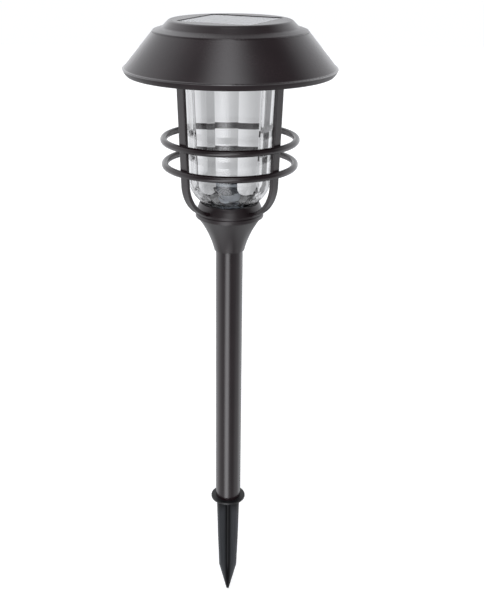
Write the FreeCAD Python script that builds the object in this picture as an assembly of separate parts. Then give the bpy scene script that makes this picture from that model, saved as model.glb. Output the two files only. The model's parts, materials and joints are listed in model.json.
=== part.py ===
import FreeCAD, Part
import math
import os

# Solar path light on a ground stake. Millimetres, +Z up.
# Origin: on the pole's axis at ground level, which is the underside of the stake's collar.
# -Y is the front.

# ---------------------------------------------------------------- driving dimensions
CAP_D = 165.0            # outer diameter of the cap's lip
POLE_D = 22.2            # seven-eighths inch tube
POLE_WALL = 1.2
TOP_Z = 422.3            # flat top rim of the cap
LIP_Z = 382.3            # underside of the cap's lip
FLANGE_Z = 268.8         # underside of the hub's flange, top of the neck
NECK_Z = 239.9           # lower edge of the neck
STAKE_LENGTH = 104.6     # collar underside to the tip of the spike
RUN = 0.05               # running clearance across a joint
WINDOW_TURN = -27.0      # degrees the square solar window is turned in the round cap

# cap: bezel tier and conical shade
SEAM_R = 59.5            # where the bezel meets the cone
SEAM_Z = 413.8
CONE_R = 81.2            # lower end of the cone, above the lip
CONE_Z = 387.8
LIP_TOP_Z = 387.5        # the lip's widest edge; below it the lip turns under
LIP_EDGE = 0.7           # rounding of that edge
LIP_TUCK = 2.9           # how far the lip turns under
LIP_INNER_R = 78.0       # opening that the tray passes through
SHADE_WALL = 2.2
BEZEL_SEAT_Z = 412.4     # bezel's flat underside on the shade's top flange
TIER_R = 44.9            # flat top of the bezel
WINDOW = 61.0            # side of the square window
WINDOW_CORNER = 3.5
RECESS = 0.4             # resin surface below the rim
CELL_STRIPS = 4
CELL_SPAN = 52.0         # side of the square the strips cover
CELL_GAP = 0.6           # between strips

# solar panel stack, from the shelf up
SHELF_Z = 417.4
GASKET_T = 0.5
BACKING_T = 1.2
CELL_T = 0.3
BUSBAR_T = 0.1

# underside tray
TRAY_Z = 386.0
TRAY_T = 2.0
TRAY_R = 77.2
SCREW_CIRCLE_R = 66.0
SCREW_ANGLES = (30.0, 150.0, 270.0)

# battery bay, two-thirds AA cell lying along X
CELL_R = 7.1
CELL_LENGTH = 29.0
BAY_HALF = 18.5
BAY_Y = 16.0             # axis of the cell
BAY_HALF_Y = 7.8
BAY_WALL = 1.6
BAY_TOP_Z = 403.8
CONTACT_T = 0.4
DOOR_T = 1.6
HINGE_Y = 25.4
HINGE_Z = 383.9
HINGE_PIN_R = 1.0

# circuit board and lamp
BOARD_Z = 393.0
BOARD_T = 1.6
LED_R = 2.5

# switch on the tray, sliding along Y
SWITCH_X = 58.0
SWITCH_REST_Y = -1.5

# lens
GLOBE_TOP_R = 37.0
GLOBE_TOP_Z = 385.0
GLOBE_SIDE_R = 33.0      # foot of the sloping side, where the dome starts
DOME_R = 23.0
DOME_FLAT_R = 10.0
GLOBE_Z = 278.0          # underside of the dome
GLOBE_WALL = 2.1
FACETS = 12
FACET_TURN = -79.4       # degrees from +X to one inside facet edge

# cage
BAR_WIDTH = 7.5
BAR_T = 3.0
BAR_ANGLES = (45.0, 135.0, 225.0, 315.0)
BEND_R = 31.2            # outside face of the bars' lower bend
BEND_CENTRE_R = 18.1
BEND_CENTRE_Z = 304.0
BEND_FOOT = 78.0         # degrees from horizontal where a bar ends on the hub
BAR_LEAN = 0.044         # outward lean of the straight part, radius per height
BAR_EDGE_R = 0.7
BAND_Z = 378.5
BAND_TOP_Z = 385.9
BAND_R = 53.2
RING_WIRE_R = 2.6
UPPER_RING_R = 52.2
UPPER_RING_Z = 331.8
LOWER_RING_R = 51.4
LOWER_RING_Z = 312.1

# hub
FLANGE_R = 27.5
FLANGE_T = 3.4
CUP_FLOOR_Z = 272.5
CUP_RIM_R = 24.0
CUP_RIM_Z = 280.8
HUB_SCREW_R = 2.5
NECK_TOP_R = 25.8
NECK_LOW_R = 12.5

# stake
COLLAR_R = 15.3
COLLAR_T = 2.0
FIN_T = 2.4
FIN_TURN = 45.0          # the four fins stand on the diagonals
CORE_R = 2.6             # round core where the fins meet
SHOULDER_Z = -71.7       # where the fins start to run in to the tip
PLUG_TOP_Z = 38.0
PLUG_GAP = 0.1           # between plug and tube, radial

# ---------------------------------------------------------------- derived values
LIP_R = CAP_D / 2
POLE_R = POLE_D / 2
POLE_BORE_R = POLE_R - POLE_WALL
TRAY_TOP_Z = TRAY_Z + TRAY_T
BACKING_Z = SHELF_Z + GASKET_T
CELLS_Z = BACKING_Z + BACKING_T
BUSBARS_Z = CELLS_Z + CELL_T
CELL_PITCH = CELL_SPAN / CELL_STRIPS
CELL_WIDTH = CELL_PITCH - CELL_GAP
RESIN_TOP_Z = TOP_Z - RECESS
CELL_Z = TRAY_TOP_Z + 1.0 + CELL_R
BOARD_TOP_Z = BOARD_Z + BOARD_T
FLANGE_TOP_Z = FLANGE_Z + FLANGE_T
DOME_CENTRE_Z = GLOBE_Z + DOME_R
GLOBE_FLOOR_Z = GLOBE_Z + 2.4
BAND_BORE_R = BAND_R - BAR_T
CONE_SLOPE = (CONE_R - SEAM_R) / (SEAM_Z - CONE_Z)

V = FreeCAD.Vector
X_AXIS = V(1, 0, 0)
Z_AXIS = V(0, 0, 1)


# ---------------------------------------------------------------- shape helpers
def profile(start, *steps):
    """Closed face in the XZ plane. A step is an end point, or an arc's middle and end points."""
    first = V(start[0], 0, start[1])
    here = first
    edges = []
    for step in steps:
        end = V(step[-2], 0, step[-1])
        if len(step) == 4:
            edges.append(Part.Arc(here, V(step[0], 0, step[1]), end).toShape())
        else:
            edges.append(Part.LineSegment(here, end).toShape())
        here = end
    if here.distanceToPoint(first) > 1e-6:
        edges.append(Part.LineSegment(here, first).toShape())
    return Part.Face(Part.Wire(edges))


def turned(start, *steps):
    """A body of revolution about Z from a profile of (radius, height) points."""
    return profile(start, *steps).revolve(V(0, 0, 0), Z_AXIS, 360)


def disc(radius, low, high, x=0.0, y=0.0):
    return Part.makeCylinder(radius, high - low, V(x, y, low))


def ring(inner, outer, low, high):
    return disc(outer, low, high).cut(disc(inner, low - 1, high + 1))


def block(x0, x1, y0, y1, z0, z1):
    return Part.makeBox(x1 - x0, y1 - y0, z1 - z0, V(x0, y0, z0))


def rod(radius, x0, x1, y, z):
    """A cylinder along X."""
    return Part.makeCylinder(radius, x1 - x0, V(x0, y, z), X_AXIS)


def fuse(shapes):
    return shapes[0].multiFuse(shapes[1:]).removeSplitter()


def at_angle(shape, degrees):
    copy = shape.copy()
    copy.rotate(V(0, 0, 0), Z_AXIS, degrees)
    return copy


def lengthwise_edges(solid, shortest):
    """Edges longer than the given length that keep the same Y."""
    return [e for e in solid.Edges
            if abs(e.Vertexes[0].Y - e.Vertexes[-1].Y) < 1e-6 and e.Length > shortest]


def square(side, corner, low, high):
    """A square plate with rounded upright edges, turned like the solar window."""
    half = side / 2
    plate = block(-half, half, -half, half, low, high)
    upright = [e for e in plate.Edges if abs(e.Vertexes[0].Z - e.Vertexes[1].Z) > 1e-6]
    return at_angle(plate.makeFillet(corner, upright), WINDOW_TURN)


def wire_lead(points, radius=0.65):
    """A round insulated lead that follows a smooth curve through the points."""
    curve = Part.BSplineCurve()
    curve.interpolate([V(*p) for p in points])
    spine = Part.Wire([curve.toShape()])
    start = V(*points[0])
    direction = curve.tangent(curve.FirstParameter)[0]
    section = Part.Wire([Part.Circle(start, direction, radius).toShape()])
    return spine.makePipeShell([section], True, True)


def pan_screw(x, y, seat_z, head_r, head_h, shank_r, length, up):
    """A pan-head screw. Its head sits at seat_z, and its shank runs up or down from there."""
    rim = 0.45 * head_h
    middle = 0.72 * head_r
    head = turned((0, 0), (head_r, 0), (head_r, -rim), (middle, -0.86 * head_h, 0, -head_h))
    shank = disc(shank_r, 0, length)
    slot = head_r * 0.62
    width = head_r * 0.14
    deep = -head_h * 0.55
    cross = block(-slot, slot, -width, width, -head_h - 1, deep)
    cross = cross.fuse(block(-width, width, -slot, slot, -head_h - 1, deep))
    screw = head.fuse(shank).removeSplitter().cut(cross)
    if not up:
        screw.rotate(V(0, 0, 0), X_AXIS, 180)
    screw.translate(V(x, y, seat_z))
    return screw


def cone_inner(z):
    """Inside radius of the shade's cone at a height."""
    outer = SEAM_R + (SEAM_Z - z) * CONE_SLOPE
    return outer - SHADE_WALL * math.hypot(1, CONE_SLOPE)


def screw_places():
    for degrees in SCREW_ANGLES:
        a = math.radians(degrees)
        yield SCREW_CIRCLE_R * math.cos(a), SCREW_CIRCLE_R * math.sin(a)


# ---------------------------------------------------------------- cap
def shade():
    flange_z = BEZEL_SEAT_Z - 2.0
    shell = turned(
        (LIP_INNER_R, LIP_Z), (LIP_R - LIP_TUCK, LIP_Z),
        (LIP_R - 0.42 * LIP_TUCK, LIP_Z + 2.0, LIP_R - 0.1, LIP_TOP_Z - 1.4 * LIP_EDGE),
        (LIP_R, LIP_TOP_Z - LIP_EDGE),
        (LIP_R - 0.29 * LIP_EDGE, LIP_TOP_Z - 0.29 * LIP_EDGE, LIP_R - LIP_EDGE, LIP_TOP_Z),
        (CONE_R, CONE_Z), (SEAM_R, SEAM_Z),
        (SEAM_R - 0.3, SEAM_Z), (SEAM_R - 0.3, BEZEL_SEAT_Z), (50.0, BEZEL_SEAT_Z),
        (50.0, flange_z), (cone_inner(flange_z), flange_z), (cone_inner(TRAY_Z), TRAY_Z),
        (LIP_INNER_R, TRAY_Z))
    rib_top = TRAY_TOP_Z + 2.0
    rib = turned((74.0, TRAY_TOP_Z), (cone_inner(TRAY_TOP_Z) + 0.5, TRAY_TOP_Z),
                 (cone_inner(rib_top) + 0.5, rib_top), (74.0, rib_top))
    boss_top = 408.0
    inside = turned((0, TRAY_TOP_Z), (cone_inner(TRAY_TOP_Z) + 0.8, TRAY_TOP_Z),
                    (cone_inner(boss_top) + 0.8, boss_top), (0, boss_top))
    bosses = [disc(3.6, TRAY_TOP_Z, boss_top, x, y).common(inside) for x, y in screw_places()]
    body = fuse([shell, rib] + bosses)
    for x, y in screw_places():
        body = body.cut(disc(1.25, TRAY_TOP_Z - 1, 398.0, x, y))
    return body


def top_bezel():
    body = turned(
        (49.0, BEZEL_SEAT_Z), (59.1, BEZEL_SEAT_Z), (59.1, 413.95),
        (58.85, 414.7, 58.2, 415.05), (53.7, 416.55),
        (52.6, 416.85, 51.6, 417.35), (48.2, 420.7),
        (46.95, 421.8, TIER_R, TOP_Z), (0, TOP_Z), (0, SHELF_Z - 2.0), (49.0, SHELF_Z - 2.0))
    body = body.cut(square(WINDOW, WINDOW_CORNER, SHELF_Z, TOP_Z + 1))
    hollow = disc(TIER_R - 1.5, BEZEL_SEAT_Z - 1, TOP_Z - 2.4)
    body = body.cut(hollow.cut(square(WINDOW + 5.0, WINDOW_CORNER, BEZEL_SEAT_Z - 2, TOP_Z)))
    return body.cut(square(WINDOW - 8.0, 3.0, BEZEL_SEAT_Z, SHELF_Z + 1))


def panel_plate(low, high, gap=0.2):
    return square(WINDOW - 2 * gap, WINDOW_CORNER - gap, low, high)


def strip_starts():
    """Low x of each cell strip, before the window's turn."""
    return [-CELL_SPAN / 2 + i * CELL_PITCH for i in range(CELL_STRIPS)]


def cell_strips():
    half = CELL_SPAN / 2
    strips = [block(x, x + CELL_WIDTH, -half, half, CELLS_Z, BUSBARS_Z) for x in strip_starts()]
    return [at_angle(strip, WINDOW_TURN) for strip in strips]


def busbars():
    """Two silver ribbons along each strip."""
    half = CELL_SPAN / 2
    bars = []
    for x in strip_starts():
        for share in (0.27, 0.73):
            middle = x + share * CELL_WIDTH
            ribbon = block(middle - 0.5, middle + 0.5, -half, half, BUSBARS_Z, BUSBARS_Z + BUSBAR_T)
            bars.append(at_angle(ribbon, WINDOW_TURN))
    return bars


def panel_gasket():
    outer = panel_plate(SHELF_Z, BACKING_Z)
    return outer.cut(square(WINDOW - 7.0, 3.0, SHELF_Z - 1, BACKING_Z + 1))


def panel_resin():
    body = panel_plate(CELLS_Z, RESIN_TOP_Z)
    for piece in cell_strips() + busbars():
        body = body.cut(piece)
    return body


# ---------------------------------------------------------------- underside tray
def bay_walls():
    low_y = BAY_Y - BAY_HALF_Y
    high_y = BAY_Y + BAY_HALF_Y
    w = BAY_WALL
    outer = block(-BAY_HALF - w, BAY_HALF + w, low_y - w, high_y + w, TRAY_TOP_Z, BAY_TOP_Z + w)
    return outer, block(-BAY_HALF, BAY_HALF, low_y, high_y, TRAY_Z - 1, BAY_TOP_Z)


def hinge_ear(x0, x1):
    barrel = rod(1.9, x0, x1, HINGE_Y, HINGE_Z)
    web = block(x0, x1, HINGE_Y - 1.9, HINGE_Y + 1.9, HINGE_Z, TRAY_Z)
    return barrel.fuse(web)


def board_post(x, y):
    return disc(2.8, TRAY_TOP_Z, BOARD_Z, x, y)


BOARD_POSTS = ((-17.0, -28.0), (17.0, -28.0))


def underside_tray():
    outer, inner = bay_walls()
    pieces = [disc(TRAY_R, TRAY_Z, TRAY_TOP_Z), outer,
              ring(GLOBE_TOP_R + 0.65, GLOBE_TOP_R + 2.6, 379.0, TRAY_Z),
              ring(BAND_BORE_R - 2.1, BAND_BORE_R - 0.1, 380.0, TRAY_Z),
              hinge_ear(12.0, 15.0), hinge_ear(-15.0, -12.0)]
    pieces += [board_post(x, y) for x, y in BOARD_POSTS]
    body = fuse(pieces).cut(inner)
    body = body.cut(ring(75.0, 76.4, TRAY_TOP_Z - 1.2, TRAY_TOP_Z + 1))
    body = body.cut(rod(HINGE_PIN_R, -16.0, 16.0, HINGE_Y, HINGE_Z))
    body = body.cut(disc(6.4, TRAY_Z - 1, TRAY_TOP_Z + 1))
    body = body.cut(block(SWITCH_X - 1.1, SWITCH_X + 1.1, -3.6, 3.6, TRAY_Z - 1, TRAY_TOP_Z + 1))
    for x, y in screw_places():
        body = body.cut(disc(1.6, TRAY_Z - 1, TRAY_TOP_Z + 1, x, y))
    for x, y in BOARD_POSTS:
        body = body.cut(disc(0.8, BOARD_Z - 4.0, BOARD_Z + 1, x, y))
    for side in (-1, 1):
        body = body.cut(contact_plate(side))
    return body


def tray_screws():
    return [pan_screw(x, y, TRAY_Z, 3.2, 1.9, 1.25, 10.0, True) for x, y in screw_places()]


def board_screws():
    return [pan_screw(x, y, BOARD_TOP_Z, 1.9, 1.3, 0.8, 5.0, False) for x, y in BOARD_POSTS]


def contact_plate(side):
    """A flat battery contact against the bay's end wall, with a solder tab through the roof."""
    x0 = min(side * BAY_HALF, side * (BAY_HALF - CONTACT_T))
    plate = block(x0, x0 + CONTACT_T, BAY_Y - 6.0, BAY_Y + 6.0, TRAY_TOP_Z + 1.5, BAY_TOP_Z - 0.5)
    tab = block(x0, x0 + CONTACT_T, BAY_Y - 1.5, BAY_Y + 1.5, BAY_TOP_Z - 0.6, 406.8)
    return plate.fuse(tab).removeSplitter()


def battery_spring():
    """A conical coil between the contact plate and the cell's flat end."""
    turns = 3.5
    start_x = -BAY_HALF + CONTACT_T
    length = BAY_HALF - CONTACT_T - (CELL_LENGTH - (BAY_HALF - CONTACT_T))
    wire_r = 0.35
    count = 60
    points = []
    for i in range(count + 1):
        t = i / count
        angle = 2 * math.pi * turns * t
        radius = 4.8 - 1.8 * t
        x = start_x + wire_r * 0.6 + (length - wire_r * 1.7) * t
        points.append(V(x, BAY_Y + radius * math.cos(angle), CELL_Z + radius * math.sin(angle)))
    curve = Part.BSplineCurve()
    curve.interpolate(points)
    tangent = curve.tangent(curve.FirstParameter)[0]
    section = Part.Wire([Part.Circle(points[0], tangent, wire_r).toShape()])
    coil = Part.Wire([curve.toShape()]).makePipeShell([section], True, True)
    return contact_plate(-1).fuse(coil)


def battery_cell():
    """The cell's axis is X; its button end touches the flat contact."""
    tip_x = BAY_HALF - CONTACT_T
    nub = 1.2
    can = rod(CELL_R, tip_x - CELL_LENGTH, tip_x - nub, BAY_Y, CELL_Z)
    can = can.makeFillet(0.5, [e for e in can.Edges if e.Curve.TypeId == "Part::GeomCircle"])
    return can.fuse(rod(2.6, tip_x - nub - 0.5, tip_x, BAY_Y, CELL_Z))


def door_knuckle(x0, x1):
    barrel = rod(1.8, x0, x1, HINGE_Y, HINGE_Z)
    web = block(x0, x1, HINGE_Y - 3.5, HINGE_Y, HINGE_Z - 0.9, TRAY_Z - 0.1)
    link = block(x0, x1, HINGE_Y - 3.5, HINGE_Y - 2.0, TRAY_Z - 0.2, TRAY_Z + 0.5)
    return fuse([barrel, web, link])


def battery_door():
    low_y = BAY_Y - BAY_HALF_Y + 0.4
    high_y = BAY_Y + BAY_HALF_Y - 0.4
    half = BAY_HALF - 0.25
    plate = block(-half, half, low_y, high_y, TRAY_Z, TRAY_Z + DOOR_T)
    grip = [block(-7.0, 7.0, low_y + 1.2 + i * 1.6, low_y + 2.0 + i * 1.6, TRAY_Z - 0.7, TRAY_Z + 0.1)
            for i in range(3)]
    body = fuse([plate] + grip + [door_knuckle(8.4, 11.8), door_knuckle(-11.8, -8.4)])
    return body.cut(rod(HINGE_PIN_R + RUN, -16.0, 16.0, HINGE_Y, HINGE_Z))


# ---------------------------------------------------------------- electronics
def circuit_board():
    board = block(-22.0, 22.0, -33.0, 5.0, BOARD_Z, BOARD_TOP_Z)
    for x, y in BOARD_POSTS:
        board = board.cut(disc(1.15, BOARD_Z - 1, BOARD_TOP_Z + 1, x, y))
    return board


def board_inductor():
    """A resistor-shaped inductor lying along X, with bent leads down to the board."""
    z = BOARD_TOP_Z + 1.9
    y = -20.0
    body = [rod(1.35, -2.0, 2.0, y, z), rod(1.7, -3.4, -1.9, y, z), rod(1.7, 1.9, 3.4, y, z)]
    for side in (-1, 1):
        x = side * 5.2
        body.append(rod(0.3, min(x, side * 3.0), max(x, side * 3.0), y, z))
        body.append(block(x - 0.4, x + 0.4, y - 0.4, y + 0.4, BOARD_TOP_Z, z + 0.4))
    return fuse(body)


def board_capacitor():
    low = BOARD_TOP_Z
    return turned((0, low), (2.5, low), (2.5, low + 1.0), (2.2, low + 1.3, 2.5, low + 1.6),
                  (2.5, low + 6.4), (2.35, low + 6.8, 2.0, low + 6.9), (0, low + 6.9))


def led_emitter():
    dome_z = BOARD_Z - 4.5
    bulb = turned((0, dome_z - LED_R), (LED_R * 0.7071, dome_z - LED_R * 0.7071, LED_R, dome_z),
                  (LED_R, BOARD_Z - 1.0), (2.9, BOARD_Z - 1.0), (2.9, BOARD_Z), (0, BOARD_Z))
    return bulb


def led_reflector():
    top = BOARD_Z - 1.4
    return turned((6.4, TRAY_Z), (5.0, 388.6, 3.7, top), (3.0, top), (4.2, 388.6, 5.7, TRAY_Z))


def switch_body():
    case = block(SWITCH_X - 3.0, SWITCH_X + 3.0, -7.0, 7.0, TRAY_TOP_Z, TRAY_TOP_Z + 5.4)
    return case.cut(block(SWITCH_X - 1.7, SWITCH_X + 1.7, -5.2, 5.2, TRAY_TOP_Z - 1, TRAY_TOP_Z + 3.0))


def switch_slider():
    y = SWITCH_REST_Y
    low = TRAY_Z - 1.8
    carriage = block(SWITCH_X - 1.6, SWITCH_X + 1.6, y - 2.5, y + 2.5, TRAY_TOP_Z + RUN, TRAY_TOP_Z + 2.9)
    stem = block(SWITCH_X - 1.0, SWITCH_X + 1.0, y - 1.5, y + 1.5, low, TRAY_TOP_Z + 1.0)
    pad = block(SWITCH_X - 1.8, SWITCH_X + 1.8, y - 1.9, y + 1.9, low, TRAY_Z - 0.4)
    body = fuse([carriage, stem, pad])
    for i in (-1, 0, 1):
        middle = y + i * 1.1
        groove = block(SWITCH_X - 2, SWITCH_X + 2, middle - 0.2, middle + 0.2, low - 1, low + 0.4)
        body = body.cut(groove)
    return body


def trimmed(leads, *neighbours):
    """Leads end flush on what they are soldered to."""
    for neighbour in neighbours:
        leads = [lead.cut(neighbour) for lead in leads]
    return leads


def panel_leads():
    leads = []
    for side in (-1, 1):
        x = side * 3.0
        leads.append(wire_lead([(x, -8, BACKING_Z), (x * 1.3, -8.6, 411), (x * 2.2, -9.5, 402),
                                (x * 1.6, -10, BOARD_TOP_Z)]))
    return trimmed(leads, circuit_board(), panel_plate(BACKING_Z, CELLS_Z))


def battery_leads():
    leads = []
    for side in (-1, 1):
        x = side * (BAY_HALF - CONTACT_T / 2)
        leads.append(wire_lead([(x, BAY_Y, 406.8), (x * 0.99, 11.5, 409.2), (x * 0.92, 4.8, 406.6),
                                (x * 0.8, 2.6, 400.0), (x * 0.7, 2.0, BOARD_TOP_Z)]))
    return trimmed(leads, circuit_board(), contact_plate(-1), contact_plate(1))


def switch_leads():
    leads = []
    for side in (-1, 1):
        y = side * 2.2
        leads.append(wire_lead([(SWITCH_X, y, TRAY_TOP_Z + 5.4), (SWITCH_X - 3, y - 0.5, 397.0),
                                (40.0, y - 6, 399.5), (24.0, y - 12, 398.5), (19.5, y - 14, BOARD_TOP_Z)]))
    return trimmed(leads, circuit_board(), switch_body())


# ---------------------------------------------------------------- lens
def globe_gasket():
    low = GLOBE_TOP_Z + RUN
    lip = GLOBE_TOP_R + RUN
    out = GLOBE_TOP_R + 0.6
    return turned((34.2, low), (lip, low), (lip, 380.5), (out, 380.5), (out, TRAY_Z - RUN),
                  (34.2, TRAY_Z - RUN))


def facet_ring(radius, z):
    corners = []
    for i in range(FACETS + 1):
        a = math.radians(FACET_TURN + i * 360.0 / FACETS)
        corners.append(V(radius * math.cos(a), radius * math.sin(a), z))
    return Part.makePolygon(corners)


def dome_arc(wall):
    """Middle of the dome's corner arc, moved inwards by the wall."""
    r = DOME_R - wall
    return DOME_FLAT_R + r * math.sqrt(0.5), DOME_CENTRE_Z - r * math.sqrt(0.5)


def globe():
    outer = turned((0, GLOBE_Z), (DOME_FLAT_R, GLOBE_Z), dome_arc(0) + (GLOBE_SIDE_R, DOME_CENTRE_Z),
                   (GLOBE_TOP_R, GLOBE_TOP_Z), (0, GLOBE_TOP_Z))
    wall = GLOBE_WALL
    above = GLOBE_TOP_Z + 1
    floor = DOME_CENTRE_Z - DOME_R + 2.4
    inner = turned((0, floor), (DOME_FLAT_R, floor),
                   (DOME_FLAT_R + 14.8, DOME_CENTRE_Z - 14.5, GLOBE_SIDE_R - wall, DOME_CENTRE_Z),
                   (GLOBE_TOP_R - wall + 0.05, above), (0, above))
    lean = (GLOBE_TOP_R - GLOBE_SIDE_R) / (GLOBE_TOP_Z - DOME_CENTRE_Z)
    foot_r = GLOBE_SIDE_R - wall - lean * (DOME_CENTRE_Z - GLOBE_Z)
    outlines = [facet_ring(foot_r, GLOBE_Z), facet_ring(GLOBE_TOP_R - wall + 0.05, above)]
    facets = Part.makeLoft(outlines, True, True)
    return outer.cut(inner.common(facets))


def light_prism():
    low = GLOBE_FLOOR_Z
    return turned((0, low), (7.4, low), (8.4, low + 2.0), (8.4, low + 16.6), (7.6, low + 16.6),
                  (0.6, low + 9.4), (0, low + 9.2))


# ---------------------------------------------------------------- cage
def straight_foot(radius):
    """Where the straight part of a bar's face meets its bend of the given radius."""
    k = 1 / math.hypot(1, BAR_LEAN)
    return BEND_CENTRE_R + radius * k, BEND_CENTRE_Z - radius * BAR_LEAN * k


def face_line(radius, z):
    r, foot_z = straight_foot(radius)
    return r + (z - foot_z) * BAR_LEAN, z


def bend_point(radius, degrees):
    a = math.radians(degrees)
    return BEND_CENTRE_R + radius * math.cos(a), BEND_CENTRE_Z - radius * math.sin(a)


def cage_bar():
    """One flat bar in the XZ plane: straight and leaning above, bent in below."""
    outer = BEND_R
    inner = BEND_R - BAR_T
    middle = BEND_FOOT / 2
    outline = profile(
        face_line(outer, BAND_Z), straight_foot(outer),
        bend_point(outer, middle) + bend_point(outer, BEND_FOOT), bend_point(inner, BEND_FOOT),
        bend_point(inner, middle) + straight_foot(inner), face_line(inner, BAND_Z))
    bar = outline.extrude(V(0, BAR_WIDTH, 0))
    bar.translate(V(0, -BAR_WIDTH / 2, 0))
    return bar.makeFillet(BAR_EDGE_R, lengthwise_edges(bar, 2 * BAR_T))


def guard_ring(radius, z):
    return Part.makeTorus(radius, RING_WIRE_R, V(0, 0, z))


def cage_bars():
    cutters = [guard_ring(UPPER_RING_R, UPPER_RING_Z), guard_ring(LOWER_RING_R, LOWER_RING_Z),
               hub_envelope(), disc(60, FLANGE_Z - 20, FLANGE_TOP_Z)]
    bars = []
    for degrees in BAR_ANGLES:
        bar = at_angle(cage_bar(), degrees)
        for cutter in cutters:
            bar = bar.cut(cutter)
        bars.append(max(bar.Solids, key=lambda s: s.Volume))
    return bars


def cage_band():
    return ring(BAND_BORE_R, BAND_R, BAND_Z, BAND_TOP_Z)


def cup_side():
    """Outline of the cup above its flange, from the flange's top to the rim."""
    return ((26.7, FLANGE_TOP_Z), (26.5, 274.2), (25.1, 277.9), (CUP_RIM_R, CUP_RIM_Z - 0.5),
            (CUP_RIM_R - 0.15, CUP_RIM_Z - 0.13, CUP_RIM_R - 0.5, CUP_RIM_Z))


def hub_envelope():
    """The hub without its hollow, for trimming what is welded to it."""
    return turned((0, FLANGE_Z), (FLANGE_R, FLANGE_Z), (FLANGE_R, FLANGE_TOP_Z), *cup_side(),
                  (0, CUP_RIM_Z))


def hub_cup():
    edge = 0.6
    return turned(
        (HUB_SCREW_R + 0.2, FLANGE_Z), (FLANGE_R - edge, FLANGE_Z),
        (FLANGE_R - 0.18, FLANGE_Z + 0.18, FLANGE_R, FLANGE_Z + edge), (FLANGE_R, FLANGE_TOP_Z - edge),
        (FLANGE_R - 0.18, FLANGE_TOP_Z - 0.18, FLANGE_R - edge, FLANGE_TOP_Z), *cup_side(),
        (22.7, CUP_RIM_Z), (21.0, CUP_FLOOR_Z), (HUB_SCREW_R + 0.2, CUP_FLOOR_Z))


def cup_pad():
    """A rubber seat whose top follows the dome."""
    gap = RUN
    r = DOME_R + gap
    edge_r = 20.0
    edge_z = DOME_CENTRE_Z - math.sqrt(r * r - (edge_r - DOME_FLAT_R) ** 2)
    mid_r = 15.0
    mid_z = DOME_CENTRE_Z - math.sqrt(r * r - (mid_r - DOME_FLAT_R) ** 2)
    top = GLOBE_Z - gap
    return turned((7.0, CUP_FLOOR_Z), (20.9, CUP_FLOOR_Z), (21.9, 278.5), (edge_r, edge_z),
                  (mid_r, mid_z, DOME_FLAT_R, top), (7.0, top))


# ---------------------------------------------------------------- neck and pole
def neck_flare():
    top = FLANGE_Z
    plate = top - 2.0
    return turned(
        (POLE_R, NECK_Z), (NECK_LOW_R - 0.45, NECK_Z),
        (NECK_LOW_R - 0.15, NECK_Z + 0.15, NECK_LOW_R, NECK_Z + 0.7),
        (17.9, 255.4, NECK_TOP_R, top - 0.6), (NECK_TOP_R, top), (3.0, top), (3.0, plate), (22.0, plate),
        (16.0, 256.0, 12.9, 248.0), (POLE_R, 248.0))


def pole():
    return ring(POLE_BORE_R, POLE_R, COLLAR_T, FLANGE_Z - 2.0)


def pole_plug():
    return ring(HUB_SCREW_R, POLE_BORE_R, 250.0, FLANGE_Z - 2.0)


def hub_washer():
    return ring(HUB_SCREW_R + 0.1, 6.5, CUP_FLOOR_Z, CUP_FLOOR_Z + 1.0)


# ---------------------------------------------------------------- stake
def spike_fin():
    """One full-width web of the spike in the XZ plane; two of them make the four fins."""
    top = 0.5 * COLLAR_T
    shoulders = ((13.35, top), (12.05, -38.2), (10.4, SHOULDER_Z), (1.0, -STAKE_LENGTH + 0.8))
    mirrored = [(-r, z) for r, z in reversed(shoulders)]
    tip = (0, -STAKE_LENGTH) + mirrored[0]
    web = profile(shoulders[0], *shoulders[1:], tip, *mirrored[1:])
    solid = web.extrude(V(0, FIN_T, 0))
    solid.translate(V(0, -FIN_T / 2, 0))
    return solid.makeFillet(0.5, lengthwise_edges(solid, 30.0))


def spike_core():
    foot = -STAKE_LENGTH + 2.0
    return turned((0, 0), (CORE_R, 0), (CORE_R, SHOULDER_Z), (0.4, foot), (0, foot))


def ground_stake():
    r = POLE_BORE_R - PLUG_GAP
    edge = 0.5
    bulge = COLLAR_R - 0.3 * edge
    collar = turned((0, 0), (COLLAR_R - edge, 0), (bulge, 0.3 * edge, COLLAR_R, edge),
                    (COLLAR_R, COLLAR_T - edge), (bulge, COLLAR_T - 0.3 * edge, COLLAR_R - edge, COLLAR_T),
                    (0, COLLAR_T))
    boss = turned((0, -3.0), (7.6, -3.0), (8.6, -2.6, 9.0, -1.6), (9.0, 0), (0, 0))
    drums = [disc(r, COLLAR_T, COLLAR_T + 6.0),
             turned((0, 32.0), (r, 32.0), (r, PLUG_TOP_Z - 1.5), (r - 1.5, PLUG_TOP_Z), (0, PLUG_TOP_Z))]
    web = block(-r, r, -1.5, 1.5, COLLAR_T, PLUG_TOP_Z - 2.0).common(disc(r, 0, PLUG_TOP_Z))
    webs = [web, at_angle(web, 90)]
    fins = [at_angle(spike_fin(), FIN_TURN), at_angle(spike_fin(), FIN_TURN + 90)]
    return fuse([collar, boss, spike_core()] + drums + webs + fins)


# ---------------------------------------------------------------- writing the pieces
def group(shapes):
    return Part.makeCompound(shapes)


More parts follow.
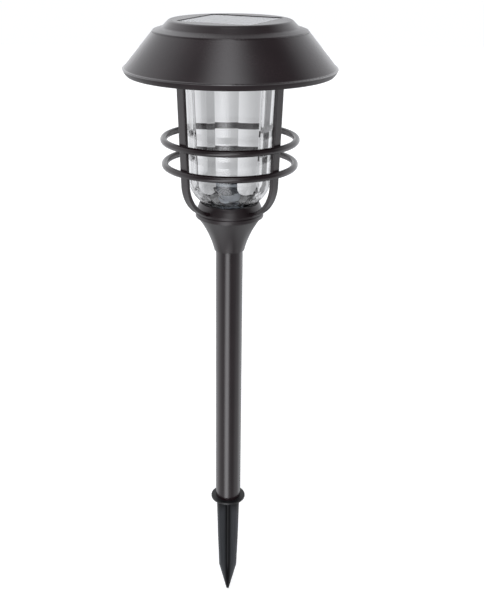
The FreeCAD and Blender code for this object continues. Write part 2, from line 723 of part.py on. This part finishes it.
def nodes():
    return {
        "shade": shade(),
        "top_bezel": top_bezel(),
        "panel_gasket": panel_gasket(),
        "panel_base": panel_plate(BACKING_Z, CELLS_Z),
        "solar_cells": group(cell_strips()),
        "cell_busbars": group(busbars()),
        "panel_resin": panel_resin(),
        "underside_tray": underside_tray(),
        "tray_seal": ring(75.0, 76.4, TRAY_TOP_Z - 1.2, TRAY_TOP_Z),
        "tray_screws": group(tray_screws()),
        "circuit_board": circuit_board(),
        "board_chip": block(-12.5, -7.5, -14.0, -10.0, BOARD_TOP_Z, BOARD_TOP_Z + 1.6),
        "board_inductor": board_inductor(),
        "board_capacitor": board_capacitor().translated(V(11.0, -8.0, 0)),
        "board_screws": group(board_screws()),
        "led_emitter": led_emitter(),
        "led_reflector": led_reflector(),
        "battery_cell": battery_cell(),
        "battery_spring": battery_spring(),
        "battery_contact": contact_plate(1),
        "panel_leads": group(panel_leads()),
        "battery_leads": group(battery_leads()),
        "switch_leads": group(switch_leads()),
        "switch_body": switch_body(),
        "switch_slider": switch_slider(),
        "battery_door": battery_door(),
        "door_hinge_pin": rod(HINGE_PIN_R, -15.0, 15.0, HINGE_Y, HINGE_Z),
        "globe_gasket": globe_gasket(),
        "globe": globe(),
        "light_prism": light_prism(),
        "cage_bars": group(cage_bars()),
        "cage_band": cage_band(),
        "guard_ring_upper": guard_ring(UPPER_RING_R, UPPER_RING_Z),
        "guard_ring_lower": guard_ring(LOWER_RING_R, LOWER_RING_Z),
        "hub_cup": hub_cup(),
        "cup_pad": cup_pad(),
        "hub_washer": hub_washer(),
        "hub_screw": pan_screw(0, 0, CUP_FLOOR_Z + 1.0, 4.6, 3.4, HUB_SCREW_R, 21.0, False),
        "neck_flare": neck_flare(),
        "pole": pole(),
        "pole_plug": pole_plug(),
        "ground_stake": ground_stake(),
    }


os.makedirs("parts", exist_ok=True)
for name, shape in nodes().items():
    if not shape.isValid() or not shape.Solids:
        raise SystemExit(name + " is not a valid solid")
    shape.exportStep("parts/" + name + ".step")
    print(name, len(shape.Solids), round(shape.Volume / 1000, 2), "cm3")
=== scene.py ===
import bpy
import json
import math
from mathutils import Matrix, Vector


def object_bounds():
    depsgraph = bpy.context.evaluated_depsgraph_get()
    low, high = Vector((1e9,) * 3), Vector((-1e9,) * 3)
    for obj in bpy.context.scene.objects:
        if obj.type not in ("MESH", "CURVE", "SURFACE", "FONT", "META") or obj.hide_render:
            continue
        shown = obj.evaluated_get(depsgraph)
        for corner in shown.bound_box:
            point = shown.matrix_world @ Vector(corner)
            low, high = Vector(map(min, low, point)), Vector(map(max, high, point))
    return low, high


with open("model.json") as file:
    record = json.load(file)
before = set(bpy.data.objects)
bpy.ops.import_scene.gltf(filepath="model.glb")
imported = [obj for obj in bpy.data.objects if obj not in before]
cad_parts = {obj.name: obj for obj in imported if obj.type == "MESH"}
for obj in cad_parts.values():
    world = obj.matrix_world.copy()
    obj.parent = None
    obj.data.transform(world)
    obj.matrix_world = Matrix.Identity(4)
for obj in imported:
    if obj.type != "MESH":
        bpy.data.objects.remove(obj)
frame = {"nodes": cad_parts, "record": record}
CAD_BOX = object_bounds()

MM = 0.001


def rgb(red, green, blue):
    return (red, green, blue, 1.0)


# ---------------------------------------------------------------- camera
CAMERA_LENS = 56.4               # mm on a 36 mm sensor
CAMERA_DISTANCE = 0.7324         # from the pole's axis
CAMERA_ABOVE_TOP = 0.0726        # above the highest point of the lamp
CAMERA_PITCH = math.radians(22.3)
CAMERA_ROLL = math.radians(0.3)
CAMERA_SHIFT_X = 0.0215
CAMERA_NEAR = 0.01

# ---------------------------------------------------------------- places on the pieces
LIP_EDGE_Z = 387.5 * MM          # widest edge of the cap's lip
POLISH_FADE = (0.5 * MM, 0.1 * MM)        # above that edge, where the polished band begins
UNDERSIDE_FADE = (-0.9 * MM, -1.3 * MM)   # below that edge, where the flat underside begins
DOME_FADE_Z = (303.0 * MM, 291.0 * MM)    # the lens's pimples grow from the first to the second height
PAINTED_DARK_WAIST_Z = (288.0 * MM, 294.8 * MM)        # painted reflection: dark band of the clear light spreader
COLLAR_SHADOW_AND_DULL_FADE_Z = (-1.0 * MM, -14.0 * MM)    # painted shadow under the collar: the fins stay black at the top, then turn dull and dusty from the collar down
GROOVE_SHADE_TO_DUST_RADIUS = (3.0 * MM, 6.5 * MM)    # painted shade keeps the grooves black; dust grows from them out to the fins
FIN_SHINE_RADIUS = (2.0 * MM, 5.0 * MM)   # and so does the shine
WORN_EDGE_RADIUS = 0.5 * MM               # edges sharper than this are rubbed

# ---------------------------------------------------------------- colours
BRONZE_DARK = rgb(0.0102, 0.0042, 0.0060)
BRONZE_LIGHT = rgb(0.0140, 0.0064, 0.0086)
BRONZE_WORN = rgb(0.055, 0.047, 0.043)
STAKE_BLACK = rgb(0.0085, 0.0085, 0.0095)
STAKE_DUST = (rgb(0.033, 0.035, 0.040), rgb(0.050, 0.053, 0.059))
GLASS_SHADOW = rgb(0.93, 0.94, 0.95)
RESIN_SHADOW = rgb(0.9, 0.92, 0.95)
LENS_TINT = rgb(0.965, 0.965, 0.965)
LED_TINT = rgb(0.97, 0.96, 0.88)
RESIN_TINT = rgb(0.93, 0.95, 0.98)
PRISM_TINT = rgb(0.86, 0.89, 0.93)
PRISM_FROST = rgb(0.86, 0.90, 0.95)
# painted reflection: dark colour of the spreader's waist
PRISM_PAINTED_DARK = rgb(0.020, 0.026, 0.038)
SILICON_DARK = rgb(0.010, 0.016, 0.050)
SILICON_LIGHT = rgb(0.028, 0.048, 0.125)

ACRYLIC_IOR = 1.49
EPOXY_IOR = 1.53
RESIN_IOR = 1.5
COAT_IOR = 1.5
STAKE_IOR = 1.42

# ---------------------------------------------------------------- texture sizes, as noise scales per metre
CAP_GRAIN = 1100.0               # orange peel of the cap's coat
POST_GRAIN = 900.0               # and of the post's
PEEL_DEPTH = 0.012
EDGE_WEAR = 0.35                 # share of the worn colour on rubbed edges
MOULD_GRAIN = 1400.0             # spark-eroded texture of moulded plastic
MOULD_DEPTH = 0.03
RUBBER_DEPTH = 0.08
METAL_GRAIN = 700.0

# name: colour, lighter colour, roughness, depth of the texture
MOULDED = {
    "black_plastic": (rgb(0.010, 0.010, 0.010), rgb(0.016, 0.016, 0.016), 0.45, MOULD_DEPTH),
    "panel_board": (rgb(0.55, 0.56, 0.58), rgb(0.62, 0.63, 0.65), 0.50, MOULD_DEPTH),
    "rubber": (rgb(0.008, 0.008, 0.008), rgb(0.014, 0.014, 0.014), 0.62, RUBBER_DEPTH),
    "circuit_green": (rgb(0.010, 0.085, 0.030), rgb(0.014, 0.110, 0.040), 0.28, MOULD_DEPTH),
    "component_beige": (rgb(0.36, 0.42, 0.20), rgb(0.42, 0.47, 0.25), 0.35, MOULD_DEPTH),
    "battery_wrap": (rgb(0.020, 0.130, 0.050), rgb(0.026, 0.150, 0.060), 0.22, MOULD_DEPTH),
    "lead_red": (rgb(0.30, 0.012, 0.010), rgb(0.36, 0.018, 0.014), 0.42, MOULD_DEPTH),
    "lead_black": (rgb(0.010, 0.010, 0.010), rgb(0.018, 0.018, 0.018), 0.42, MOULD_DEPTH),
}

# name: colour, roughness
METALS = {
    "silver": (rgb(0.72, 0.73, 0.75), 0.35),
    "steel": (rgb(0.55, 0.55, 0.56), 0.32),
    "reflector": (rgb(0.88, 0.88, 0.90), 0.16),
}

# name: roughness, grain, height of a lip's edge
COATS = {
    "bronze_cap": (0.26, CAP_GRAIN, None),
    "bronze_shade": (0.26, CAP_GRAIN, LIP_EDGE_Z),
    "bronze_metal": (0.25, POST_GRAIN, None),
    "bronze_spun": (0.38, POST_GRAIN, None),
}

# nodes that don't take the material of their slot in the record
OWN_MATERIAL = {
    "light_prism": "prism",
    "shade": "bronze_shade",
    "hub_cup": "bronze_spun",
}

# ---------------------------------------------------------------- light
# azimuth (0 is the front, -Y), elevation, full half-width and outer half-width in degrees, strength:
# the soft lights that glossy surfaces mirror
REFLECTED_LIGHTS = (
    (-125.0, 12.0, 20.0, 72.0, 1.20),     # back wall, left
    (130.0, 4.0, 14.0, 54.0, 1.20),       # back wall, right
    (180.0, 0.0, 10.0, 40.0, 0.26),       # back wall, middle
    (-85.0, -48.0, 10.0, 58.0, 0.62),     # sweep, lower left
    (98.0, -42.0, 10.0, 44.0, 0.85),      # sweep, lower right
    (-25.0, -72.0, 8.0, 46.0, 0.55),      # table under the lamp
    (48.0, -24.0, 8.0, 36.0, 0.35),       # sweep, front right
    (0.0, 90.0, 6.0, 36.0, 0.30),         # ceiling
    (-17.0, 62.0, 4.0, 19.0, 2.20),       # soft box above the camera, left half
    (7.0, 62.0, 4.0, 19.0, 2.10),         # and right half
    (0.0, 14.0, 5.0, 22.0, 3.50),         # lamp at the camera
    (4.0, -45.0, 5.0, 24.0, 0.90),        # sweep in front of the lamp
    (-17.0, -28.0, 5.0, 22.0, 4.60),      # strip below the camera
    (-7.0, -4.0, 4.0, 24.0, 2.00),        # its upper end
    (-55.0, -5.0, 10.0, 40.0, 0.20),      # wall, front left
)
REFLECTED_BASE = 0.22

# the same, for what is seen through the clear parts: a grey sweep with lighter and darker patches
THROUGH_LIGHTS = (
    (159.0, -20.0, 5.0, 20.0, 0.36),
    (-166.0, -20.0, 3.0, 16.0, -0.14),
    (-140.0, -10.0, 4.0, 18.0, 0.16),
    (134.0, -8.0, 5.0, 18.0, 0.30),
)
THROUGH_BASE = 0.53

SEEN_STRENGTH = 1.0              # the surroundings as the camera sees them
STUDIO_TINT = rgb(1.0, 1.012, 1.04)

FLOOR_SIZE = 8.0
FLOOR_GAP = 0.5 * MM             # under the lowest point of the stake
FLOOR_COLOUR = rgb(0.9, 0.9, 0.9)
FLOOR_GLOW = 0.35


# ---------------------------------------------------------------- node graph helper
class Graph:
    """Builds a shader node tree with short calls."""

    def __init__(self, tree):
        self.tree = tree
        self.tree.nodes.clear()

    def node(self, kind, inputs=None, **settings):
        made = self.tree.nodes.new(kind)
        for key, value in settings.items():
            setattr(made, key, value)
        for key, value in (inputs or {}).items():
            self.put(made.inputs[key], value)
        return made

    def put(self, socket, value):
        """Links a socket to another, or sets its value."""
        if isinstance(value, bpy.types.NodeSocket):
            self.tree.links.new(value, socket)
        else:
            socket.default_value = value

    def math(self, operation, a, b=0.0, c=0.0):
        made = self.node("ShaderNodeMath", operation=operation)
        for socket, value in zip(made.inputs, (a, b, c)):
            self.put(socket, value)
        return made.outputs[0]

    def ramp(self, value, low, high, out_low=0.0, out_high=1.0):
        """Smooth step from out_low at low to out_high at high."""
        inputs = {"Value": value, "From Min": low, "From Max": high, "To Min": out_low, "To Max": out_high}
        return self.node("ShaderNodeMapRange", inputs, interpolation_type="SMOOTHSTEP").outputs["Result"]

    def mix(self, factor, a, b):
        made = self.node("ShaderNodeMix", data_type="RGBA")
        self.put(made.inputs[0], factor)
        self.put(made.inputs[6], a)
        self.put(made.inputs[7], b)
        return made.outputs[2]

    def place(self):
        """Position in the frame at rest, which a piece keeps when its body moves."""
        return self.node("ShaderNodeTexCoord").outputs["Object"]

    def place_xyz(self):
        return self.node("ShaderNodeSeparateXYZ", {"Vector": self.place()}).outputs

    def noise(self, scale, detail=3.0, roughness=0.5, stretch=None):
        where = self.place()
        if stretch:
            where = self.node("ShaderNodeMapping", {"Vector": where, "Scale": stretch}).outputs[0]
        inputs = {"Vector": where, "Scale": scale, "Detail": detail, "Roughness": roughness}
        return self.node("ShaderNodeTexNoise", inputs).outputs["Fac"]

    def bump(self, height, strength, distance, normal=None):
        inputs = {"Height": height, "Strength": strength, "Distance": distance}
        if normal is not None:
            inputs["Normal"] = normal
        return self.node("ShaderNodeBump", inputs).outputs["Normal"]

    def dot(self, first, second):
        made = self.node("ShaderNodeVectorMath", operation="DOT_PRODUCT")
        self.put(made.inputs[0], first)
        self.put(made.inputs[1], second)
        return made.outputs["Value"]

    def edge(self, radius):
        """0 on flat surfaces, rising on edges that are sharper than the radius."""
        rounded = self.node("ShaderNodeBevel", {"Radius": radius}, samples=4).outputs[0]
        sharp = self.node("ShaderNodeNewGeometry").outputs["Normal"]
        return self.ramp(self.dot(rounded, sharp), 0.995, 0.86)

    def principled(self, inputs):
        return self.node("ShaderNodeBsdfPrincipled", inputs).outputs[0]

    def blend(self, factor, first, second):
        return self.node("ShaderNodeMixShader", {0: factor, 1: first, 2: second}).outputs[0]

    def surface(self, shader):
        self.node("ShaderNodeOutputMaterial", {"Surface": shader})


def new_material(name):
    material = bpy.data.materials.new(name)
    material.use_nodes = True
    return material, Graph(material.node_tree)


# ---------------------------------------------------------------- materials
def coated(name, roughness, grain, lip_z):
    """Satin powder coat: fine orange peel, cloudy colour, rubbed edges.

    With a lip height, a band at that height is polished by handling and all below it is flat black.
    """
    material, g = new_material(name)
    cloud = g.noise(38.0, 4.0, 0.55)
    speck = g.noise(2600.0, 2.0)
    colour = g.mix(g.ramp(cloud, 0.3, 0.7), BRONZE_DARK, BRONZE_LIGHT)
    worn_patch = g.ramp(g.noise(160.0, 5.0, 0.6), 0.42, 0.62)
    worn = g.math("MULTIPLY", g.edge(WORN_EDGE_RADIUS), g.math("MULTIPLY", worn_patch, EDGE_WEAR))
    colour = g.mix(worn, colour, BRONZE_WORN)
    rough = g.math("ADD", g.math("MULTIPLY_ADD", cloud, 0.06, roughness - 0.03),
                   g.math("MULTIPLY_ADD", speck, 0.05, -0.025))
    peel = g.bump(g.noise(grain, 3.0), PEEL_DEPTH, 0.15 * MM)
    shine = 0.5
    if lip_z is not None:
        rough, shine = lip_finish(g, lip_z, rough, shine)
    g.surface(g.principled({"Base Color": colour, "Roughness": rough, "Normal": peel, "IOR": COAT_IOR,
                            "Specular IOR Level": shine}))
    return material


def lip_finish(g, lip_z, rough, shine):
    """Roughness and shine with a polished band at the lip's edge and a flat underside."""
    height = g.place_xyz()["Z"]
    under = g.ramp(height, lip_z + UNDERSIDE_FADE[0], lip_z + UNDERSIDE_FADE[1])
    above = g.ramp(height, lip_z + POLISH_FADE[0], lip_z + POLISH_FADE[1])
    polished = g.math("MULTIPLY", above, g.math("SUBTRACT", 1.0, under))
    shine = g.math("MULTIPLY_ADD", polished, 0.5, shine)
    shine = g.math("MULTIPLY_ADD", under, -0.30, shine)
    rough = g.math("MULTIPLY_ADD", polished, -0.10, rough)
    rough = g.math("MULTIPLY_ADD", under, 0.12, rough)
    return rough, shine


def moulded(name, colour, lighter, roughness, depth):
    """Plain moulded plastic or rubber with a fine texture."""
    material, g = new_material(name)
    tone = g.mix(g.ramp(g.noise(60.0, 3.0), 0.3, 0.72), colour, lighter)
    rough = g.math("MULTIPLY_ADD", g.noise(220.0, 4.0, 0.6), 0.16, roughness - 0.08)
    normal = g.bump(g.noise(MOULD_GRAIN, 2.0), depth, 0.1 * MM)
    g.surface(g.principled({"Base Color": tone, "Roughness": rough, "Normal": normal}))
    return material


def stake_plastic(name):
    """Black collar; the fins below it are duller and dusty. Painted shade keeps the grooves between the
    fins, and the tops of the fins under the collar, black.
    """
    material, g = new_material(name)
    place = g.place_xyz()
    scuff = g.noise(70.0, 5.0, 0.6, stretch=(1.0, 1.0, 0.10))
    dull_below_collar_shadow = g.ramp(place["Z"], *COLLAR_SHADOW_AND_DULL_FADE_Z)
    radius = g.math("SQRT", g.math("ADD", g.math("MULTIPLY", place["X"], place["X"]),
                                   g.math("MULTIPLY", place["Y"], place["Y"])))
    # painted shade: no dust in the grooves or just under the collar, so they stay black
    dust = g.math("MULTIPLY", dull_below_collar_shadow, g.ramp(radius, *GROOVE_SHADE_TO_DUST_RADIUS))
    dusty = g.mix(g.ramp(scuff, 0.3, 0.7), *STAKE_DUST)
    tone = g.mix(dust, STAKE_BLACK, dusty)
    rough = g.math("MULTIPLY_ADD", dull_below_collar_shadow, 0.22, 0.36)
    normal = g.bump(scuff, 0.06, 0.4 * MM, g.bump(g.noise(MOULD_GRAIN, 2.0), MOULD_DEPTH, 0.1 * MM))
    shine = g.ramp(radius, *FIN_SHINE_RADIUS, 0.2, 0.5)
    g.surface(g.principled({"Base Color": tone, "Roughness": rough, "Normal": normal, "IOR": STAKE_IOR,
                            "Specular IOR Level": shine}))
    return material


def glass_shader(g, tint, ior, roughness, normal, shadow_tint=GLASS_SHADOW):
    """Clear plastic. Light passes to what is inside without dark shadows."""
    glass = g.principled({"Base Color": tint, "Roughness": roughness, "IOR": ior,
                          "Transmission Weight": 1.0, "Normal": normal})
    pass_through = g.node("ShaderNodeBsdfTransparent", {"Color": shadow_tint}).outputs[0]
    shadow = g.node("ShaderNodeLightPath").outputs["Is Shadow Ray"]
    return g.blend(shadow, glass, pass_through)


def led_plastic(name):
    """Warm clear epoxy of the emitter, faintly wavy and smeared."""
    material, g = new_material(name)
    wave = g.bump(g.noise(55.0, 2.0), 0.02, 0.6 * MM)
    smear = g.math("MULTIPLY", g.ramp(g.noise(70.0, 5.0, 0.6), 0.5, 0.75), 0.03)
    g.surface(glass_shader(g, LED_TINT, EPOXY_IOR, smear, wave))
    return material


def globe_plastic(name):
    """The lens: slightly grey, wavy, with moulded pimples in the dome."""
    material, g = new_material(name)
    dome = g.ramp(g.place_xyz()["Z"], *DOME_FADE_Z)
    cells = g.node("ShaderNodeTexVoronoi", {"Vector": g.place(), "Scale": 170.0}).outputs["Distance"]
    wave = g.bump(g.noise(45.0, 2.0), 0.04, 0.6 * MM)
    pimples = g.bump(g.math("MULTIPLY", cells, dome), 0.35, 1.2 * MM, wave)
    g.surface(glass_shader(g, LENS_TINT, ACRYLIC_IOR, 0.0, pimples))
    return material


def resin(name):
    """Clear doming resin over the cells, very glossy with faint ripples and dust."""
    material, g = new_material(name)
    ripple = g.bump(g.noise(30.0, 2.0), 0.02, 0.4 * MM)
    dust = g.ramp(g.noise(300.0, 3.0, 0.6), 0.55, 0.72)
    rough = g.math("MULTIPLY_ADD", dust, 0.12, 0.12)
    g.surface(glass_shader(g, RESIN_TINT, RESIN_IOR, rough, ripple, RESIN_SHADOW))
    return material


def prism_plastic(name):
    """The light spreader: clear and frosted, with a dark waist painted in where the clear plastic shows
    dark reflections.
    """
    material, g = new_material(name)
    height = g.place_xyz()["Z"]
    facets = g.bump(g.noise(260.0, 2.0), 0.3, 0.5 * MM)
    clear = glass_shader(g, PRISM_TINT, ACRYLIC_IOR, 0.02, facets)
    frost = g.node("ShaderNodeBsdfTranslucent", {"Color": PRISM_FROST, "Normal": facets}).outputs[0]
    clear = g.blend(0.55, clear, frost)
    # painted reflection: an opaque dark band stands in for dark reflections in the clear spreader
    painted_dark = g.principled({"Base Color": PRISM_PAINTED_DARK, "Roughness": 0.60, "Specular IOR Level": 0.0})
    dark_waist_mask = g.math("MULTIPLY", g.math("LESS_THAN", height, PAINTED_DARK_WAIST_Z[1]),
                   g.math("GREATER_THAN", height, PAINTED_DARK_WAIST_Z[0]))
    g.surface(g.blend(dark_waist_mask, clear, painted_dark))
    return material


def metal(name, colour, roughness):
    """Bare metal with an uneven, faintly scratched surface."""
    material, g = new_material(name)
    rough = g.math("MULTIPLY_ADD", g.noise(METAL_GRAIN, 4.0, 0.6), 0.18, roughness - 0.09)
    darker = rgb(*[0.8 * channel for channel in colour[:3]])
    tone = g.mix(g.ramp(g.noise(240.0, 3.0), 0.35, 0.7), colour, darker)
    scratch = g.bump(g.noise(METAL_GRAIN * 2, 2.0), 0.05, 0.05 * MM)
    g.surface(g.principled({"Base Color": tone, "Metallic": 1.0, "Roughness": rough, "Normal": scratch}))
    return material


def silicon(name):
    """Polycrystalline cell: shards of slightly different blue."""
    material, g = new_material(name)
    cells = g.node("ShaderNodeTexVoronoi", {"Vector": g.place(), "Scale": 420.0})
    spread = g.node("ShaderNodeSeparateColor", {"Color": cells.outputs["Color"]}).outputs[0]
    tone = g.mix(spread, SILICON_DARK, SILICON_LIGHT)
    g.surface(g.principled({"Base Color": tone, "Roughness": 0.28}))
    return material


def make_materials():
    made = {}
    for name, finish in COATS.items():
        made[name] = coated(name, *finish)
    for name, finish in MOULDED.items():
        made[name] = moulded(name, *finish)
    for name, finish in METALS.items():
        made[name] = metal(name, *finish)
    made["stake_plastic"] = stake_plastic("stake_plastic")
    made["clear_lens"] = globe_plastic("clear_lens")
    made["resin"] = resin("resin")
    made["solar_cell"] = silicon("solar_cell")
    made["led_clear"] = led_plastic("led_clear")
    made["prism"] = prism_plastic("prism")
    return made


def dress_nodes(materials):
    """Gives each CAD node its own material, or that of its slot in the record."""
    slots = {entry["node"]: entry["material_slot"] for entry in frame["record"]["subparts"]}
    for name, piece in frame["nodes"].items():
        piece.data.materials.clear()
        piece.data.materials.append(materials[OWN_MATERIAL.get(name, slots[name])])


# ---------------------------------------------------------------- studio
def lobe(g, direction, azimuth, elevation, inner, outer, strength):
    """A round soft light in the surroundings: full inside the inner angle, gone at the outer one."""
    a = math.radians(azimuth)
    e = math.radians(elevation)
    axis = (math.sin(a) * math.cos(e), -math.cos(a) * math.cos(e), math.sin(e))
    low = math.cos(math.radians(outer))
    high = math.cos(math.radians(inner))
    return g.ramp(g.dot(direction, axis), low, high, 0.0, strength)


def sum_of_lobes(g, direction, base, lobes):
    light = base
    for parts in lobes:
        light = g.math("ADD", light, lobe(g, direction, *parts))
    return light


def make_surroundings():
    """White to the eye, a grey sweep through the lens, and soft lights in reflections."""
    world = bpy.data.worlds.new("studio")
    bpy.context.scene.world = world
    world.use_nodes = True
    g = Graph(world.node_tree)
    direction = g.node("ShaderNodeTexCoord").outputs["Generated"]
    mirrored = sum_of_lobes(g, direction, REFLECTED_BASE, REFLECTED_LIGHTS)
    through = sum_of_lobes(g, direction, THROUGH_BASE, THROUGH_LIGHTS)
    rays = g.node("ShaderNodeLightPath")
    direct = rays.outputs["Is Camera Ray"]
    indirect = g.math("SUBTRACT", 1.0, direct)
    refracted = g.math("MULTIPLY", rays.outputs["Is Transmission Ray"], indirect)
    other = g.math("SUBTRACT", indirect, refracted)
    strength = g.math("MULTIPLY", direct, SEEN_STRENGTH)
    strength = g.math("ADD", strength, g.math("MULTIPLY", refracted, through))
    strength = g.math("ADD", strength, g.math("MULTIPLY", other, mirrored))
    back = g.node("ShaderNodeBackground", {"Color": STUDIO_TINT, "Strength": strength})
    g.node("ShaderNodeOutputWorld", {"Surface": back.outputs[0]})


def make_floor():
    """A pale floor that is clear from below and isn't mirrored in the lamp."""
    low = CAD_BOX[0].z
    bpy.ops.mesh.primitive_plane_add(size=FLOOR_SIZE, location=(0, 0, low - FLOOR_GAP))
    floor = bpy.context.object
    floor.name = "floor"
    material, g = new_material("floor_white")
    matte = g.node("ShaderNodeBsdfDiffuse", {"Color": FLOOR_COLOUR})
    glow = g.node("ShaderNodeEmission", {"Color": rgb(1.0, 1.0, 1.0), "Strength": FLOOR_GLOW})
    both = g.node("ShaderNodeAddShader", {0: matte.outputs[0], 1: glow.outputs[0]})
    clear = g.node("ShaderNodeBsdfTransparent")
    below = g.node("ShaderNodeNewGeometry").outputs["Backfacing"]
    g.surface(g.blend(below, both.outputs[0], clear.outputs[0]))
    floor.data.materials.append(material)
    floor.visible_glossy = False
    floor.visible_diffuse = False
    floor.visible_transmission = False


def make_camera():
    data = bpy.data.cameras.new("camera")
    camera = bpy.data.objects.new("camera", data)
    bpy.context.scene.collection.objects.link(camera)
    data.lens = CAMERA_LENS
    data.shift_x = CAMERA_SHIFT_X
    data.clip_start = CAMERA_NEAR
    place = Matrix.Translation((0, -CAMERA_DISTANCE, CAD_BOX[1].z + CAMERA_ABOVE_TOP))
    tilt = Matrix.Rotation(math.pi / 2 - CAMERA_PITCH, 4, "X")
    camera.matrix_world = place @ tilt @ Matrix.Rotation(CAMERA_ROLL, 4, "Z")
    bpy.context.scene.camera = camera


def set_view():
    """Plain colours, and enough bounces for light to cross the lens and the spreader."""
    scene = bpy.context.scene
    scene.view_settings.view_transform = "Standard"
    scene.view_settings.look = "None"
    scene.cycles.use_denoising = True
    scene.cycles.max_bounces = 24
    scene.cycles.transmission_bounces = 20
    scene.cycles.transparent_max_bounces = 24
    scene.cycles.glossy_bounces = 8


dress_nodes(make_materials())
make_surroundings()
make_floor()
make_camera()
set_view()
